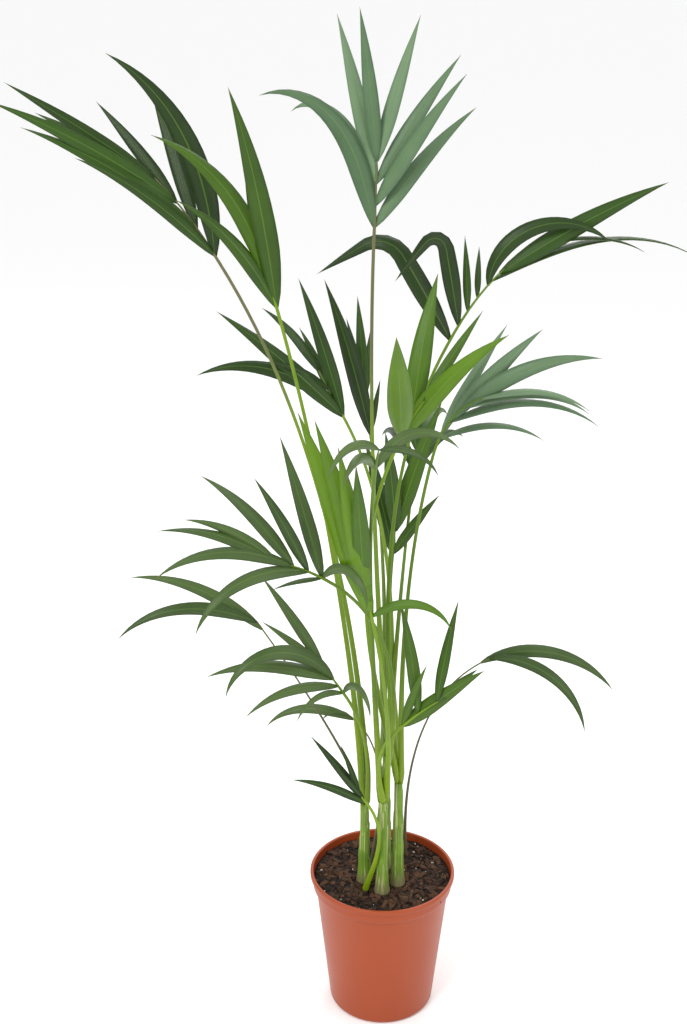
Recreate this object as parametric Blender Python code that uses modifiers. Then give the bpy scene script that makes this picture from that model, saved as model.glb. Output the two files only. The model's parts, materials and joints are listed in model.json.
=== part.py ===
"""Potted kentia palm: several young palms grown as one clump in a nursery pot.

Metres, +Z up. The origin is the middle of the pot's flat underside, and the
plant is seen from the front along +Y, with +X to the right.
"""

import math

import bmesh
import bpy
from mathutils import Vector

# Pot
RIM_RADIUS = 0.105
POT_HEIGHT = 0.217
LIP_HEIGHT = 0.0075
COLLAR_RADIUS = 0.1015
COLLAR_FOOT = 0.192
WALL_TOP_RADIUS = 0.0965
WALL_FOOT_RADIUS = 0.0765
FOOT_ROUNDING = 0.0065
WALL = 0.0024
FLOOR = 0.003
FLOOR_CORNER = 0.002
STEP_DEPTH = 0.0015
LIP_EDGE = 0.0015
TURNS = 40
DRAIN_HOLES = 6
DRAIN_RADIUS = 0.005
DRAIN_CIRCLE = 0.045

# Clump
SOIL_LEVEL = 0.205
GAP = 0.0003
STEM_RADIUS = 0.0085
STEM_FLARE = 1.35
FLARE_HEIGHT = 0.3
FLARE_END = 1.05
STALK_FOOT_RADIUS = 0.003
STALK_TIP_RADIUS = 0.0021
STALK_SPACING = 1.06
STALK_FOOT_PULL = 0.12
STALK_TIP_PULL = 0.42
RIB_TIP_RADIUS = 0.0014
RIB_STEPS = 5

# Leaflets
LEAF_SLIMNESS = 0.105
LEAF_THICKNESS = 0.0105
LEAF_ROOT_WIDTH = 0.3
LEAF_TIP_WIDTH = 0.05
WIDEST_AT = 0.32
FOLD_AT = 0.6
FOLD_REACH = 0.22
DROOP_POWER = 1.5
LEAF_STEPS = 4
BEND_PER_STEP = 30
SHARP_ANGLE = 35

# Stems of the clump: where each stands on the soil, its height, and the stalks that leave its
# top in a ring, counted round from the bearing of the first, in degrees from +X
STEMS = {
    "left": dict(
        place=(-0.026, -0.014), height=0.13, first=45,
        bears=("left_high", "left_low", "left_tall", "low_left")),
    "front": dict(
        place=(0.000, -0.040), height=0.15, first=0,
        bears=("spear", "left_mid", "front", "right_low")),
    "right": dict(
        place=(0.022, -0.020), height=0.17, first=135,
        bears=("right_high", "right_mid", "right_grey", "middle")),
    "back": dict(
        place=(0.004, 0.022), height=0.19, first=255,
        bears=("crown", "back_right", "back_left", "back_centre")),
}


def fan(lean, length, droop=(8,), swing=(0,), fold=(0,), face=(20,), along=(0.06, 0.96),
        slim=(LEAF_SLIMNESS,), sag=(DROOP_POWER,)):
    """Leaflets up one side of a rib: one for each lean, the other values graded along them."""
    return dict(lean=lean, length=length, droop=droop, swing=swing, fold=fold, face=face, along=along,
                slim=slim, sag=sag)


# Fronds. A throat is where a stalk ends and its frond begins. A rib is its lean from upright
# (plus is to the right), its swing towards the front, its length and its droop in degrees.
# Three young leaves have a foot of their own on the soil.
FRONDS = {
    "crown": dict(
        throat=(-0.019, 0.03, 1.139), rib=(2, 0, 0.09, 0),
        fans=[
            fan(lean=(-13, -17, -13, -6), length=(0.245, 0.20, 0.205, 0.183),
                droop=(95, 108, 3, 4), swing=(4, -12, -5, 6), sag=(2.3,)),
            fan(lean=(34, 30, 31, 15), length=(0.193, 0.195, 0.185, 0.178),
                droop=(18, 10, 8, 4), swing=(-8, 8, -10, -4)),
        ]),
    "left_high": dict(
        throat=(-0.224, 0.10, 1.086), rib=(-32, -5, 0.14, 15),
        fans=[
            fan(lean=(-4, -19, -38, -60), length=(0.30, 0.195, 0.17, 0.175),
                droop=(58, 5, 8, 6), swing=(0, -20, -15, -5)),
            fan(lean=(-42, -50, -53, -54), length=(0.22, 0.255, 0.265, 0.22),
                droop=(25, 20, 15, 6), swing=(10, 8, 12, 5), slim=(0.08,)),
        ]),
    "left_tall": dict(
        throat=(-0.135, -0.06, 1.058), rib=(-14, 5, 0.07, 0),
        fans=[
            fan(lean=(-27, -16, -28), length=(0.18, 0.23, 0.115), droop=(35, 55, 10), swing=(5, 0, -35)),
            fan(lean=(-6, -12), length=(0.27, 0.17), droop=(14, 5), swing=(5, -35)),
        ]),
    "right_high": dict(
        throat=(0.080, 0.12, 0.971), rib=(28, -5, 0.19, 38),
        fans=[
            fan(lean=(-30, -10, -3, 4, 1, 57), length=(0.265, 0.22, 0.105, 0.085, 0.21, 0.25),
                droop=(5, 5, 5, 5, 130, 12), swing=(-5, 8, 5, -45, 0, -5), fold=(88, 115, 0, 0, 0, 0),
                along=(0.04, 0.62), sag=(1.5, 1.5, 1.5, 1.5, 0.9, 1.5)),
            fan(lean=(62, 75), length=(0.30, 0.145), droop=(58, 45), swing=(-10, 0), along=(0.55, 0.95),
                face=(70,), slim=(0.06,)),
        ]),
    "right_mid": dict(
        throat=(0.016, -0.14, 0.921), rib=(24, 10, 0.06, 10),
        fans=[
            fan(lean=(-3, 7, 33), length=(0.19, 0.175, 0.13), droop=(5, 14, 5), swing=(35, -12, -20),
                slim=(0.16, 0.15, 0.1)),
            fan(lean=(32,), length=(0.185,), droop=(25,), swing=(8,), slim=(0.13,)),
        ]),
    "right_grey": dict(
        throat=(0.056, -0.05, 0.860), rib=(12, 5, 0.12, 55),
        fans=[
            fan(lean=(28, 39, 49), length=(0.16, 0.16, 0.185), droop=(8, 10, 45), swing=(-12, 0, 5),
                along=(0.35, 0.75), slim=(0.1, 0.13, 0.11)),
            fan(lean=(60, 62, 68, 72), length=(0.14, 0.195, 0.165, 0.14), droop=(60, 65, 60, 55),
                swing=(15, 8, 0, 5), face=(60,), along=(0.3, 0.96), slim=(0.08,)),
        ]),
    "middle": dict(
        throat=(0.010, 0.14, 0.653), rib=(5, 0, 0.04, 0),
        fans=[
            fan(lean=(-12, -4), length=(0.17, 0.16), swing=(-10, 6), slim=(0.14,)),
            fan(lean=(30, 16), length=(0.12, 0.20), swing=(8, -8), slim=(0.13,)),
        ]),
    "spear": dict(
        throat=(-0.016, -0.16, 0.693), rib=(-12, 0, 0.05, 0),
        fans=[
            fan(lean=(-17, -13, -9, -3), length=(0.28, 0.26, 0.22, 0.19), droop=(4, 4, 0, 0),
                swing=(0, 6, 14, 20), slim=(0.115,)),
            fan(lean=(50,), length=(0.12,), droop=(110,), swing=(10,)),
        ]),
    "back_left": dict(
        throat=(-0.06, 0.18, 0.845), rib=(-30, -15, 0.08, 0),
        fans=[
            fan(lean=(-16, -28, -35), length=(0.205, 0.12, 0.13), droop=(8, 12, 30), swing=(-10, -35, -20)),
            fan(lean=(-44, -50, -46), length=(0.235, 0.215, 0.11), droop=(10, 62, 30), swing=(5, 10, 20),
                along=(0.06, 0.6)),
        ]),
    "left_mid": dict(
        throat=(-0.075, -0.14, 0.737), rib=(-55, 15, 0.07, 20),
        fans=[
            fan(lean=(-15, -22, -38, -48), length=(0.185, 0.15, 0.165, 0.13), droop=(6, 8, 30, 40),
                swing=(-10, 10, -15, 0)),
            fan(lean=(-82, -72, -62, -56), length=(0.07, 0.18, 0.18, 0.155), droop=(20, 85, 65, 40),
                swing=(30, 30, 15, 5), face=(50,)),
            fan(lean=(30,), length=(0.12,), droop=(150,), swing=(30,)),
        ]),
    "left_low": dict(
        throat=(-0.167, 0.0, 0.599), rib=(-33, 0, 0.015, 0),
        fans=[fan(lean=(-48, -62), length=(0.20, 0.205), droop=(48, 75), swing=(0, 12), slim=(0.09,))]),
    "low_left": dict(
        throat=(-0.053, -0.06, 0.533), rib=(-30, 10, 0.06, 0),
        fans=[
            fan(lean=(-55, -74, -66, -46, -34), length=(0.095, 0.14, 0.175, 0.115, 0.145),
                droop=(85, 55, 45, 10, 8), swing=(40, 25, 10, 0, -15), face=(45,)),
            fan(lean=(20, -32), length=(0.10, 0.20), droop=(150, 135), swing=(30, 15), along=(0.06, 0.5)),
        ]),
    "low_back": dict(
        foot=(-0.016, 0.030), throat=(-0.042, 0.08, 0.417), rib=(-45, 0, 0.012, 0),
        fans=[fan(lean=(-68, -55), length=(0.145, 0.05), droop=(78, 100), swing=(-5, 15))]),
    "foot_left": dict(
        foot=(-0.024, -0.040), throat=(-0.021, -0.06, 0.362), rib=(-35, 0, 0.02, 0),
        fans=[fan(lean=(-56, -38, -32, -18), length=(0.115, 0.12, 0.075, 0.08), droop=(28, 6, 5, 5),
                  swing=(5, -10, 10, -5))]),
    "right_low": dict(
        throat=(0.021, -0.10, 0.506), rib=(42, 10, 0.07, 10),
        fans=[
            fan(lean=(14, -6, 9), length=(0.11, 0.165, 0.14), swing=(10, 0, -10)),
            fan(lean=(46, 50), length=(0.14, 0.07), swing=(5, -15), slim=(0.16,)),
        ]),
    "right_arch": dict(
        foot=(0.034, 0.052), throat=(0.136, 0.06, 0.523), rib=(58, 0, 0.015, 0),
        fans=[fan(lean=(60, 76), length=(0.22, 0.195), droop=(85, 95), swing=(-5, 10), slim=(0.085,),
                  sag=(0.9,))]),
    "front": dict(
        throat=(-0.013, -0.24, 0.917), rib=(5, 40, 0.06, 20),
        fans=[
            fan(lean=(25, 75), length=(0.135, 0.08), droop=(100, 80), swing=(15, 20)),
            fan(lean=(-20, -45), length=(0.12, 0.10), droop=(90, 110), swing=(45, 40)),
        ]),
    "back_centre": dict(
        throat=(-0.024, 0.24, 0.80), rib=(-10, -20, 0.06, 0),
        fans=[
            fan(lean=(-13, -12, -5), length=(0.24, 0.15, 0.16), swing=(0, -20, -30)),
            fan(lean=(10, 4), length=(0.09, 0.12), swing=(-35, -45)),
        ]),
    "back_right": dict(
        throat=(0.04, 0.22, 0.75), rib=(10, -50, 0.08, 20),
        fans=[
            fan(lean=(-25, -15, -5), length=(0.16, 0.17, 0.16), droop=(80, 75, 70), swing=(-50, -55, -60)),
            fan(lean=(35, 25, 15), length=(0.15, 0.16, 0.16), droop=(80, 75, 70), swing=(-40, -50, -60)),
        ]),
}


def graded(values, part):
    """Read evenly spaced values or points at a part, from 0 to 1, of the way along them."""
    place = part * (len(values) - 1)
    before = min(int(place), max(len(values) - 2, 0))
    after = min(before + 1, len(values) - 1)
    return values[before] + (values[after] - values[before]) * (place - before)


def heading(lean, swing):
    """The direction that leans from upright to the right and swings towards the front."""
    lean = math.radians(lean)
    swing = math.radians(swing)
    return Vector((math.sin(lean) * math.cos(swing), -math.sin(swing), math.cos(lean) * math.cos(swing)))


def arc(root, lean, swing, length, droop, fold, sag, steps):
    """Points along a rib or a leaflet that sinks under its weight, and may fold over."""
    start = heading(lean, swing)
    level = Vector((start.x, start.y, 0)).normalized()
    climb = math.atan2(start.z, math.hypot(start.x, start.y))
    points = [Vector(root)]
    for step in range(steps):
        part = (step + 0.5) / steps
        folded = min(max((part - FOLD_AT) / FOLD_REACH + 0.5, 0), 1)
        pitch = climb - math.radians(droop * part ** sag + fold * folded)
        ahead = level * math.cos(pitch) + Vector((0, 0, math.sin(pitch)))
        points.append(points[-1] + ahead * (length / steps))
    return points


def bar(name, points, across, deep, front, sides):
    """A closed bar along a line: a cone primitive cut into rings, with a width and a depth at each."""
    rings = len(points) - 1
    mesh = bmesh.new()
    bmesh.ops.create_cone(mesh, cap_ends=True, segments=sides, radius1=1, radius2=1, depth=rings)
    uprights = [edge for edge in mesh.edges if abs(edge.verts[0].co.z - edge.verts[1].co.z) > 0.5]
    bmesh.ops.subdivide_edges(mesh, edges=uprights, cuts=rings - 1)
    for vert in mesh.verts:
        ring = round(vert.co.z + rings / 2)
        ahead = (points[min(ring + 1, rings)] - points[max(ring - 1, 0)]).normalized()
        side = front.cross(ahead).normalized()
        ridge = ahead.cross(side)
        vert.co = points[ring] + side * (vert.co.x * across[ring]) + ridge * (vert.co.y * deep[ring])
    data = bpy.data.meshes.new(name)
    mesh.to_mesh(data)
    mesh.free()
    return bpy.data.objects.new(name, data)


def leaf_width(part):
    """A leaflet's width, from 0 to 1, at a part of the way to its tip."""
    if part < WIDEST_AT:
        return LEAF_ROOT_WIDTH + (1 - LEAF_ROOT_WIDTH) * math.sin(part / WIDEST_AT * math.pi / 2)
    return max(math.cos((part - WIDEST_AT) / (1 - WIDEST_AT) * math.pi / 2), LEAF_TIP_WIDTH)


def rib_line(spec):
    """Points along a frond's rib, from its throat."""
    lean, swing, length, droop = spec["rib"]
    return arc(spec["throat"], lean, swing, length, droop, 0, DROOP_POWER, RIB_STEPS)


def leaflet_lines(spec):
    """The line, width, thickness and front direction of each leaflet of a frond."""
    rib = rib_line(spec)
    leaflets = []
    for side in spec["fans"]:
        count = len(side["lean"])
        for index in range(count):
            part = index / max(count - 1, 1)
            root = graded(rib, graded(side["along"], part))
            length = graded(side["length"], part)
            droop = graded(side["droop"], part)
            fold = graded(side["fold"], part)
            steps = LEAF_STEPS + round((droop + fold) / BEND_PER_STEP)
            swing = graded(side["swing"], part)
            sag = graded(side["sag"], part)
            points = arc(root, side["lean"][index], swing, length, droop, fold, sag, steps)
            face = math.radians(graded(side["face"], part))
            front = Vector((0, -math.cos(face), math.sin(face)))
            leaflets.append((points, graded(side["slim"], part) * length, LEAF_THICKNESS * length, front))
    return leaflets


def leaflet(name, points, width, thickness, front):
    """One leaflet: a three-sided bar, flat behind and ridged in front, half as thick at its tip."""
    # A triangle in a circle of radius 1 is root 3 wide and 1.5 deep
    steps = len(points) - 1
    half_widths = [width / math.sqrt(3) * leaf_width(step / steps) for step in range(steps + 1)]
    depths = [thickness / 1.5] * steps + [thickness / 3]
    return bar(name, points, half_widths, depths, front, 3)


def paint(name, colour, roughness):
    """A plain Principled material."""
    material = bpy.data.materials.new(name)
    material.use_nodes = True
    shader = material.node_tree.nodes["Principled BSDF"]
    shader.inputs["Base Color"].default_value = (*colour, 1)
    shader.inputs["Roughness"].default_value = roughness
    shader.inputs["Metallic"].default_value = 0
    return material


def empty_the_scene():
    for thing in list(bpy.data.objects):
        bpy.data.objects.remove(thing)


def new_collection(name):
    collection = bpy.data.collections.new(name)
    bpy.context.scene.collection.children.link(collection)
    return collection


def evaluated_mesh(thing):
    bpy.context.view_layer.update()
    return bpy.data.meshes.new_from_object(thing.evaluated_get(bpy.context.evaluated_depsgraph_get()))


def is_closed(data):
    """Whether every edge of a mesh has a face on each side."""
    mesh = bmesh.new()
    mesh.from_mesh(data)
    closed = all(edge.is_manifold for edge in mesh.edges)
    mesh.free()
    return closed


def keep_main_body(data):
    """Fill the small hollows that joining seals, and drop loose scraps: keep the largest body."""
    mesh = bmesh.new()
    mesh.from_mesh(data)
    unseen = set(mesh.verts)
    bodies = []
    while unseen:
        body = set()
        edge_of_body = [unseen.pop()]
        while edge_of_body:
            vert = edge_of_body.pop()
            body.add(vert)
            for edge in vert.link_edges:
                other = edge.other_vert(vert)
                if other in unseen:
                    unseen.remove(other)
                    edge_of_body.append(other)
        bodies.append(body)
    largest = max(bodies, key=len)
    for body in bodies:
        if body is not largest:
            bmesh.ops.delete(mesh, geom=list(body), context="VERTS")
    mesh.to_mesh(data)
    mesh.free()


def finish(thing, collection, material):
    """Put an object in its collection with its material, smooth but for its sharp edges."""
    if thing.name not in collection.objects:
        collection.objects.link(thing)
    thing.data.materials.clear()
    thing.data.materials.append(material)
    if thing.type == "MESH":
        thing.data.shade_smooth()
        thing.data.set_sharp_from_angle(angle=math.radians(SHARP_ANGLE))
    return thing


def turned(name, profile):
    """A solid of revolution from a profile that runs down its outer side."""
    mesh = bmesh.new()
    verts = [mesh.verts.new((radius, 0, height)) for radius, height in profile]
    for upper, lower in zip(verts, verts[1:]):
        mesh.edges.new((upper, lower))
    data = bpy.data.meshes.new(name)
    mesh.to_mesh(data)
    mesh.free()
    thing = bpy.data.objects.new(name, data)
    screw = thing.modifiers.new("turn", "SCREW")
    screw.steps = TURNS
    screw.render_steps = TURNS
    screw.use_merge_vertices = True
    screw.merge_threshold = 0.00001
    return thing


def wall_radius(height):
    """The outer radius of the pot's tapering wall at a height."""
    part = (height - FOOT_ROUNDING) / (COLLAR_FOOT - FOOT_ROUNDING)
    return WALL_FOOT_RADIUS + (WALL_TOP_RADIUS - WALL_FOOT_RADIUS) * part


def make_pot(collection, cutters):
    lip_foot = POT_HEIGHT - LIP_HEIGHT
    foot_radius = wall_radius(FOOT_ROUNDING)
    rounding = [
        (foot_radius - FOOT_ROUNDING * (1 - math.cos(turn)), FOOT_ROUNDING * (1 - math.sin(turn)))
        for turn in (math.radians(degrees) for degrees in (0, 30, 60, 90))
    ]
    profile = [
        (0, FLOOR),
        (foot_radius - WALL - FLOOR_CORNER, FLOOR),
        (wall_radius(2 * FOOT_ROUNDING) - WALL, 2 * FOOT_ROUNDING),
        (WALL_TOP_RADIUS - WALL, COLLAR_FOOT),
        (COLLAR_RADIUS - WALL, COLLAR_FOOT + 2 * STEP_DEPTH),
        (RIM_RADIUS - 2 * WALL, POT_HEIGHT - LIP_EDGE),
        (RIM_RADIUS - 1.5 * WALL, POT_HEIGHT),
        (RIM_RADIUS - LIP_EDGE, POT_HEIGHT),
        (RIM_RADIUS, POT_HEIGHT - LIP_EDGE),
        (RIM_RADIUS, lip_foot + LIP_EDGE / 2),
        (RIM_RADIUS - LIP_EDGE / 2, lip_foot),
        (COLLAR_RADIUS, lip_foot - STEP_DEPTH),
        (COLLAR_RADIUS - STEP_DEPTH, COLLAR_FOOT + STEP_DEPTH),
        (WALL_TOP_RADIUS, COLLAR_FOOT - STEP_DEPTH),
    ] + rounding + [(0, 0)]
    pot = turned("pot", profile)
    collection.objects.link(pot)
    for index in range(DRAIN_HOLES):
        turn = 2 * math.pi * index / DRAIN_HOLES
        bpy.ops.mesh.primitive_cylinder_add(
            vertices=12, radius=DRAIN_RADIUS, depth=4 * FLOOR,
            location=(DRAIN_CIRCLE * math.cos(turn), DRAIN_CIRCLE * math.sin(turn), 0))
        cutter = bpy.context.object
        cutter.name = f"drain_{index + 1}"
        cutter.hide_render = True
        cutter.display_type = "WIRE"
        for home in list(cutter.users_collection):
            home.objects.unlink(cutter)
        cutters.objects.link(cutter)
    drains = pot.modifiers.new("drains", "BOOLEAN")
    drains.operand_type = "COLLECTION"
    drains.collection = cutters
    drains.operation = "DIFFERENCE"
    return finish(pot, collection, paint("orange_plastic", (0.45, 0.15, 0.07), 0.45))


def make_soil(collection):
    profile = [
        (0, SOIL_LEVEL),
        (COLLAR_RADIUS - WALL - GAP, SOIL_LEVEL),
        (COLLAR_RADIUS - WALL - GAP, COLLAR_FOOT + 2 * STEP_DEPTH + 2 * GAP),
        (WALL_TOP_RADIUS - WALL - GAP, COLLAR_FOOT + GAP),
        (wall_radius(2 * FOOT_ROUNDING) - WALL - GAP, 2 * FOOT_ROUNDING + GAP),
        (wall_radius(FOOT_ROUNDING) - WALL - FLOOR_CORNER - 2 * GAP, FLOOR + GAP),
        (0, FLOOR + GAP),
    ]
    return finish(turned("soil", profile), collection, paint("potting_soil", (0.03, 0.018, 0.012), 0.95))


def make_limb(name, knots, radii, collection, material, bends, roundness):
    """A tapering limb through knots: each is a place, and the handles before and after it."""
    curve = bpy.data.curves.new(name, "CURVE")
    curve.dimensions = "3D"
    curve.bevel_depth = 1
    curve.bevel_resolution = roundness
    curve.use_fill_caps = True
    curve.resolution_u = bends
    curve.render_resolution_u = bends
    spline = curve.splines.new("BEZIER")
    spline.bezier_points.add(len(knots) - 1)
    for point, (place, before, after), radius in zip(spline.bezier_points, knots, radii):
        point.handle_left_type = "FREE"
        point.handle_right_type = "FREE"
        point.co = place
        point.handle_left = place - before
        point.handle_right = place + after
        point.radius = radius
    return finish(bpy.data.objects.new(name, curve), collection, material)


def make_stem(name, spec, collection, material):
    foot = Vector((*spec["place"], SOIL_LEVEL + GAP))
    up = Vector((0, 0, spec["height"]))
    knots = [(foot + up * part, up / 8, up / 8) for part in (0, FLARE_HEIGHT, 1)]
    radii = [STEM_RADIUS * STEM_FLARE, STEM_RADIUS * FLARE_END, STEM_RADIUS]
    return make_limb(f"stem_{name}", knots, radii, collection, material, 3, 2)


def stalk_feet():
    """Where each stalk starts: in the ring on its stem, or on the soil."""
    rooted = {name: spec["foot"] for name, spec in FRONDS.items() if "foot" in spec}
    feet = {name: Vector((*place, SOIL_LEVEL + GAP)) for name, place in rooted.items()}
    for stem in STEMS.values():
        share = 2 * math.pi / len(stem["bears"])
        ring = STALK_FOOT_RADIUS * STALK_SPACING / math.sin(share / 2)
        middle = Vector((*stem["place"], SOIL_LEVEL + stem["height"] + 2 * GAP))
        for index, name in enumerate(stem["bears"]):
            turn = math.radians(stem["first"]) + share * index
            feet[name] = middle + Vector((math.cos(turn), math.sin(turn), 0)) * ring
    return feet


def make_stalk(name, spec, foot, collection, material):
    grow = heading(*spec["rib"][:2])
    tip = Vector(spec["throat"]) - grow * GAP
    reach = (tip - foot).length
    rise = Vector((0, 0, reach * STALK_FOOT_PULL))
    approach = grow * reach * STALK_TIP_PULL
    knots = [(foot, rise, rise), (tip, approach, approach)]
    radii = [STALK_FOOT_RADIUS, STALK_TIP_RADIUS]
    return make_limb(f"stalk_{name}", knots, radii, collection, material, 9, 1)


def make_frond(name, spec, collection, material):
    """A frond: its rib, with every leaflet joined to it."""
    points = rib_line(spec)
    steps = len(points) - 1
    radii = [graded((STALK_TIP_RADIUS, RIB_TIP_RADIUS), step / steps) for step in range(steps + 1)]
    frond = bar(f"frond_{name}", points, radii, radii, Vector((0, -1, 0)), 6)
    collection.objects.link(frond)
    leaflets = new_collection("leaflets")
    for index, line in enumerate(leaflet_lines(spec)):
        leaflets.objects.link(leaflet(f"leaflet_{index + 1}", *line))
    joining = frond.modifiers.new("join", "BOOLEAN")
    joining.operation = "UNION"
    joining.operand_type = "COLLECTION"
    joining.collection = leaflets
    for solver in ("EXACT", "MANIFOLD"):
        joining.solver = solver
        joined = evaluated_mesh(frond)
        if is_closed(joined):
            break
    keep_main_body(joined)
    frond.modifiers.clear()
    frond.data = joined
    for thing in list(leaflets.objects):
        bpy.data.objects.remove(thing)
    bpy.data.collections.remove(leaflets)
    return finish(frond, collection, material)


def main():
    empty_the_scene()
    palm = new_collection("potted_kentia_palm")
    cutters = new_collection("cutters")
    make_pot(palm, cutters)
    make_soil(palm)
    sheath = paint("leaf_sheath", (0.30, 0.38, 0.14), 0.6)
    petiole = paint("petiole", (0.16, 0.30, 0.04), 0.45)
    blade = paint("leaf_blade", (0.03, 0.10, 0.015), 0.4)
    for name, spec in STEMS.items():
        make_stem(name, spec, palm, sheath)
    feet = stalk_feet()
    for name, spec in FRONDS.items():
        make_stalk(name, spec, feet[name], palm, petiole)
        make_frond(name, spec, palm, blade)


main()
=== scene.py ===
# %% [markdown]
# # A potted kentia palm
# Several young palms grow as one clump in a nursery pot. The part's solids give the frame, and this
# script dresses them: finer leaflets, grooved stalks, sheathed stems, a turned pot and loose soil.
# The sizes below are the ones that the solids were made with, so every piece lies where its solid lies.

# %% Load the frame
import json
import math
import random

import bmesh
import bpy
from mathutils import Euler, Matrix, Vector, geometry, noise

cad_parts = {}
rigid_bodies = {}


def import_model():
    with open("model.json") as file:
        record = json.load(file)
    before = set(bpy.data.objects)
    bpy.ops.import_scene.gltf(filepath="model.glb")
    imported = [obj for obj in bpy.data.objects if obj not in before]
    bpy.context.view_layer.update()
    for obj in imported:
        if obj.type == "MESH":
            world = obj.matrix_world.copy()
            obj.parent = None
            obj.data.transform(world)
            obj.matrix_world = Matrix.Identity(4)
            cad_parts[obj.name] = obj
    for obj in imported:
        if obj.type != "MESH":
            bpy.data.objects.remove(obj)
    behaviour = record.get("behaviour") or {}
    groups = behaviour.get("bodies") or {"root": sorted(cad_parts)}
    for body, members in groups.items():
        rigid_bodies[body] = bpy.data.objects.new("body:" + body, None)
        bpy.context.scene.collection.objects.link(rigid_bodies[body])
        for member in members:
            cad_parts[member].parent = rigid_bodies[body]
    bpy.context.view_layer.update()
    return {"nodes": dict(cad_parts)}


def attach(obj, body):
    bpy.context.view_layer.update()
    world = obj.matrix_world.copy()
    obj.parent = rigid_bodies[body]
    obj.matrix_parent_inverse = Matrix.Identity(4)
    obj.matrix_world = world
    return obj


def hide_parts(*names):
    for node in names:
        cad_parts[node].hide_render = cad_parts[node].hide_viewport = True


for thing in list(bpy.data.objects):
    bpy.data.objects.remove(thing)
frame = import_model()
dice = random.Random(21)
print("nodes in the frame:", len(frame["nodes"]))

# %% [markdown]
# ## Sizes of the plant
# A palm is easier to change when its few driving sizes have names. These are metres and degrees, and
# they repeat the ones behind the solids. A fan is the row of leaflets up one side of a frond's rib.

# %% Driving sizes
# Pot
RIM_RADIUS = 0.105
POT_HEIGHT = 0.217
LIP_HEIGHT = 0.0075
COLLAR_RADIUS = 0.1015
COLLAR_FOOT = 0.192
WALL_TOP_RADIUS = 0.0965
WALL_FOOT_RADIUS = 0.0765
FOOT_ROUNDING = 0.0065
WALL = 0.0024
FLOOR = 0.003
FLOOR_CORNER = 0.002
STEP_DEPTH = 0.0015
LIP_EDGE = 0.0015

# Clump
SOIL_LEVEL = 0.205
GAP = 0.0003
STEM_RADIUS = 0.0085
STEM_FLARE = 1.35
FLARE_HEIGHT = 0.3
STALK_FOOT_RADIUS = 0.003
STALK_TIP_RADIUS = 0.0021
STALK_SPACING = 1.06
STALK_FOOT_PULL = 0.12
STALK_TIP_PULL = 0.42
RIB_TIP_RADIUS = 0.0014
RIB_STEPS = 5

# Leaflets
LEAF_SLIMNESS = 0.105
LEAF_ROOT_WIDTH = 0.3
LEAF_TIP_WIDTH = 0.05
WIDEST_AT = 0.32
FOLD_AT = 0.6
FOLD_REACH = 0.22
DROOP_POWER = 1.5

# Stems of the clump: where each stands on the soil, its height, and the stalks that leave its
# top in a ring, counted round from the bearing of the first, in degrees from +X
STEMS = {
    "left": dict(
        place=(-0.026, -0.014), height=0.13, first=45,
        bears=("left_high", "left_low", "left_tall", "low_left")),
    "front": dict(
        place=(0.000, -0.040), height=0.15, first=0,
        bears=("spear", "left_mid", "front", "right_low")),
    "right": dict(
        place=(0.022, -0.020), height=0.17, first=135,
        bears=("right_high", "right_mid", "right_grey", "middle")),
    "back": dict(
        place=(0.004, 0.022), height=0.19, first=255,
        bears=("crown", "back_right", "back_left", "back_centre")),
}

# %% [markdown]
# ## The fronds one by one
# No two fronds of a clump are alike, so each has its own entry: where its stalk ends, how its rib leans,
# and how the leaflets fan out along each side. The angles were set one by one. Writing a leaflet for each
# angle keeps the gaps of the real crown, which an even spread would fill.

# %% Fronds of the clump
def fan(lean, length, droop=(8,), swing=(0,), fold=(0,), face=(20,), along=(0.06, 0.96),
        slim=(LEAF_SLIMNESS,), sag=(DROOP_POWER,)):
    """Leaflets up one side of a rib: one for each lean, the other values graded along them."""
    return dict(lean=lean, length=length, droop=droop, swing=swing, fold=fold, face=face, along=along,
                slim=slim, sag=sag)


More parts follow.
